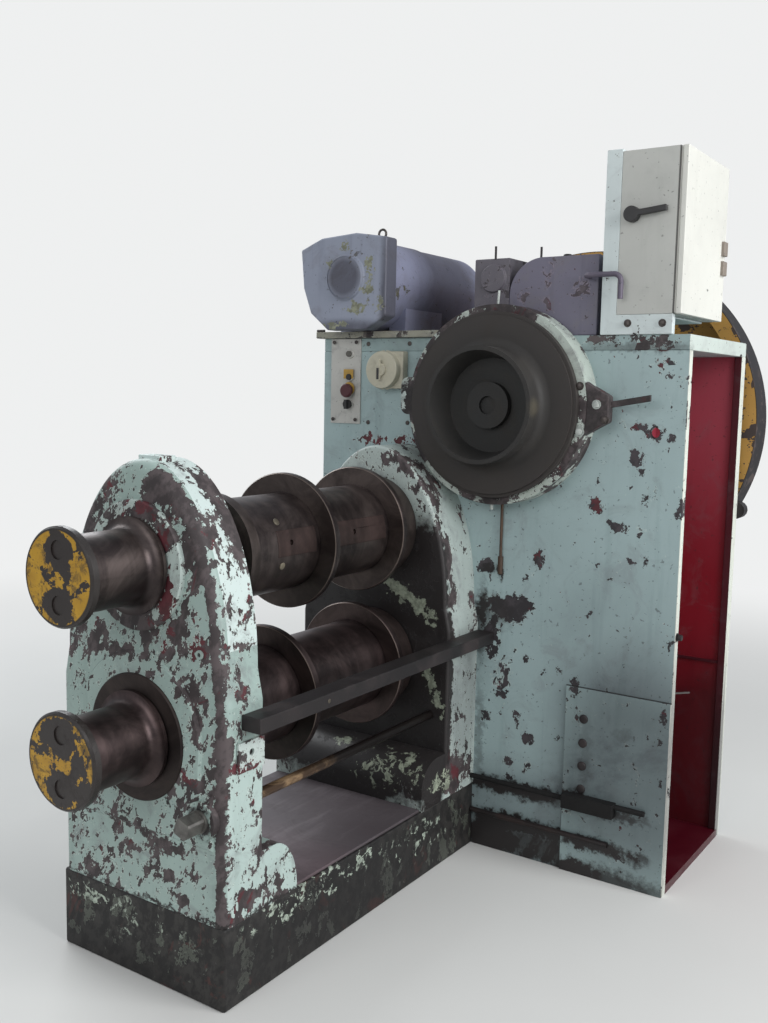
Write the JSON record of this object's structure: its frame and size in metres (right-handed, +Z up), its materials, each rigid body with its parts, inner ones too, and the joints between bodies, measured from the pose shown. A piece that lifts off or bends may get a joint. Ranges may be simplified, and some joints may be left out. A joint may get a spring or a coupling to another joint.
{
  "type": "roll forging machine",
  "caption": "Old roll forging machine: two flanged roll shafts between an outboard stand and a box frame with clutch, motor, flywheel and control cabinet.",
  "frame": {"origin": "middle of the underside of the bed, on the floor", "axes": "+X to the right along the machine's front, +Y from the outboard stand to the frame along the roll shafts, +Z up"},
  "size_m": [1.446, 2.353, 2.353],
  "materials": {
    "chipped_mint": "satin",
    "mint_paint": "satin",
    "dark_steel": "satin",
    "worn_sheet": "satin",
    "yellow_paint": "satin",
    "red_paint": "satin",
    "black_iron": "satin",
    "slate_paint": "satin",
    "cream_paint": "satin",
    "motor_blue": "satin",
    "maroon_paint": "satin",
    "cabinet_grey": "satin",
    "black_plastic": "matte",
    "red_plastic": "satin",
    "cream_plastic": "satin",
    "lamp_glass": "gloss",
    "copper_pipe": "satin"
  },
  "bodies": {
    "machine": {"bed_casting": "chipped_mint", "bed_top_plate": "worn_sheet", "outboard_stand": "chipped_mint", "upper_bearing_cover": "chipped_mint", "lower_bearing_cover": "dark_steel", "inboard_housing": "chipped_mint", "stand_tab": "chipped_mint", "tie_bar": "dark_steel", "frame_front_plate": "mint_paint", "frame_back_plate": "mint_paint", "frame_left_wall": "mint_paint", "frame_recess_wall": "red_paint", "frame_floor_plate": "red_paint", "frame_top_plate": "mint_paint", "lower_cover_plate": "mint_paint", "clutch_housing": "mint_paint", "clutch_cover": "black_iron", "clutch_bracket": "black_iron", "flywheel_bearing": "mint_paint", "motor_base": "cream_paint", "motor_shield": "motor_blue", "motor_body": "motor_blue", "eye_bolt": "dark_steel", "junction_box": "maroon_paint", "belt_guard": "maroon_paint", "hook_pipe": "dark_steel", "cabinet_post": "mint_paint", "cabinet_body": "cabinet_grey", "button_panel": "cream_paint", "indicator_lamp": "lamp_glass", "rotary_switch_body": "cream_plastic", "upper_pipe": "dark_steel", "lower_pipe": "dark_steel", "oil_line": "copper_pipe"},
    "lower_shaft": {"lower_roll_shaft": "dark_steel", "lower_end_disc": "yellow_paint"},
    "upper_shaft": {"upper_roll_shaft": "dark_steel", "upper_end_disc": "yellow_paint", "front_seat_key": "dark_steel", "rear_seat_key": "dark_steel"},
    "adjuster": {"adjusting_shaft": "dark_steel"},
    "flywheel": {"flywheel": "slate_paint"},
    "cabinet_door": {"cabinet_door": "cabinet_grey"},
    "isolator": {"isolator_handle": "black_plastic"},
    "switch_knob": {"rotary_knob": "black_plastic"},
    "start": {"start_button": "black_plastic"},
    "stop": {"stop_button": "red_plastic"},
    "selector": {"selector_knob": "black_plastic"}
  },
  "joints": [
    {"name": "lower_shaft_turn", "type": "hinge", "parent": "machine", "child": "lower_shaft", "pos_m": [0, 0, 0.676], "axis": [0, 1, 0], "continuous": true},
    {"name": "upper_shaft_turn", "type": "hinge", "parent": "machine", "child": "upper_shaft", "pos_m": [0, 0, 1.136], "axis": [0, 1, 0], "continuous": true},
    {"name": "adjuster_turn", "type": "hinge", "parent": "machine", "child": "adjuster", "pos_m": [0.239, 0, 0.506], "axis": [0, 1, 0], "range_deg": [-90, 90]},
    {"name": "flywheel_turn", "type": "hinge", "parent": "machine", "child": "flywheel", "pos_m": [0.402, 1.378, 1.502], "axis": [0, 1, 0], "continuous": true},
    {"name": "cabinet_door_swing", "type": "hinge", "parent": "machine", "child": "cabinet_door", "pos_m": [0.9503, 0.639, 2.097], "axis": [0, 0, 1], "range_deg": [-115, 0]},
    {"name": "isolator_turn", "type": "hinge", "parent": "machine", "child": "isolator", "pos_m": [0.81, 0.63, 2.151], "axis": [0, 1, 0], "range_deg": [0, 90]},
    {"name": "switch_knob_turn", "type": "hinge", "parent": "machine", "child": "switch_knob", "pos_m": [-0.08, 0.57, 1.672], "axis": [0, 1, 0], "range_deg": [-60, 60]},
    {"name": "start_press", "type": "slide", "parent": "machine", "child": "start", "axis": [0, 1, 0], "range_m": [0, 0.004], "stiffness_N_per_m": 900, "springref_m": -0.001},
    {"name": "stop_press", "type": "slide", "parent": "machine", "child": "stop", "axis": [0, 1, 0], "range_m": [0, 0.004], "stiffness_N_per_m": 1200, "springref_m": -0.001},
    {"name": "selector_turn", "type": "hinge", "parent": "machine", "child": "selector", "pos_m": [-0.253, 0.62, 1.546], "axis": [0, 1, 0], "range_deg": [-45, 45]}
  ],
  "couplings": [
    {"joint": "upper_shaft_turn", "follows": "lower_shaft_turn", "ratio": -1}
  ]
}
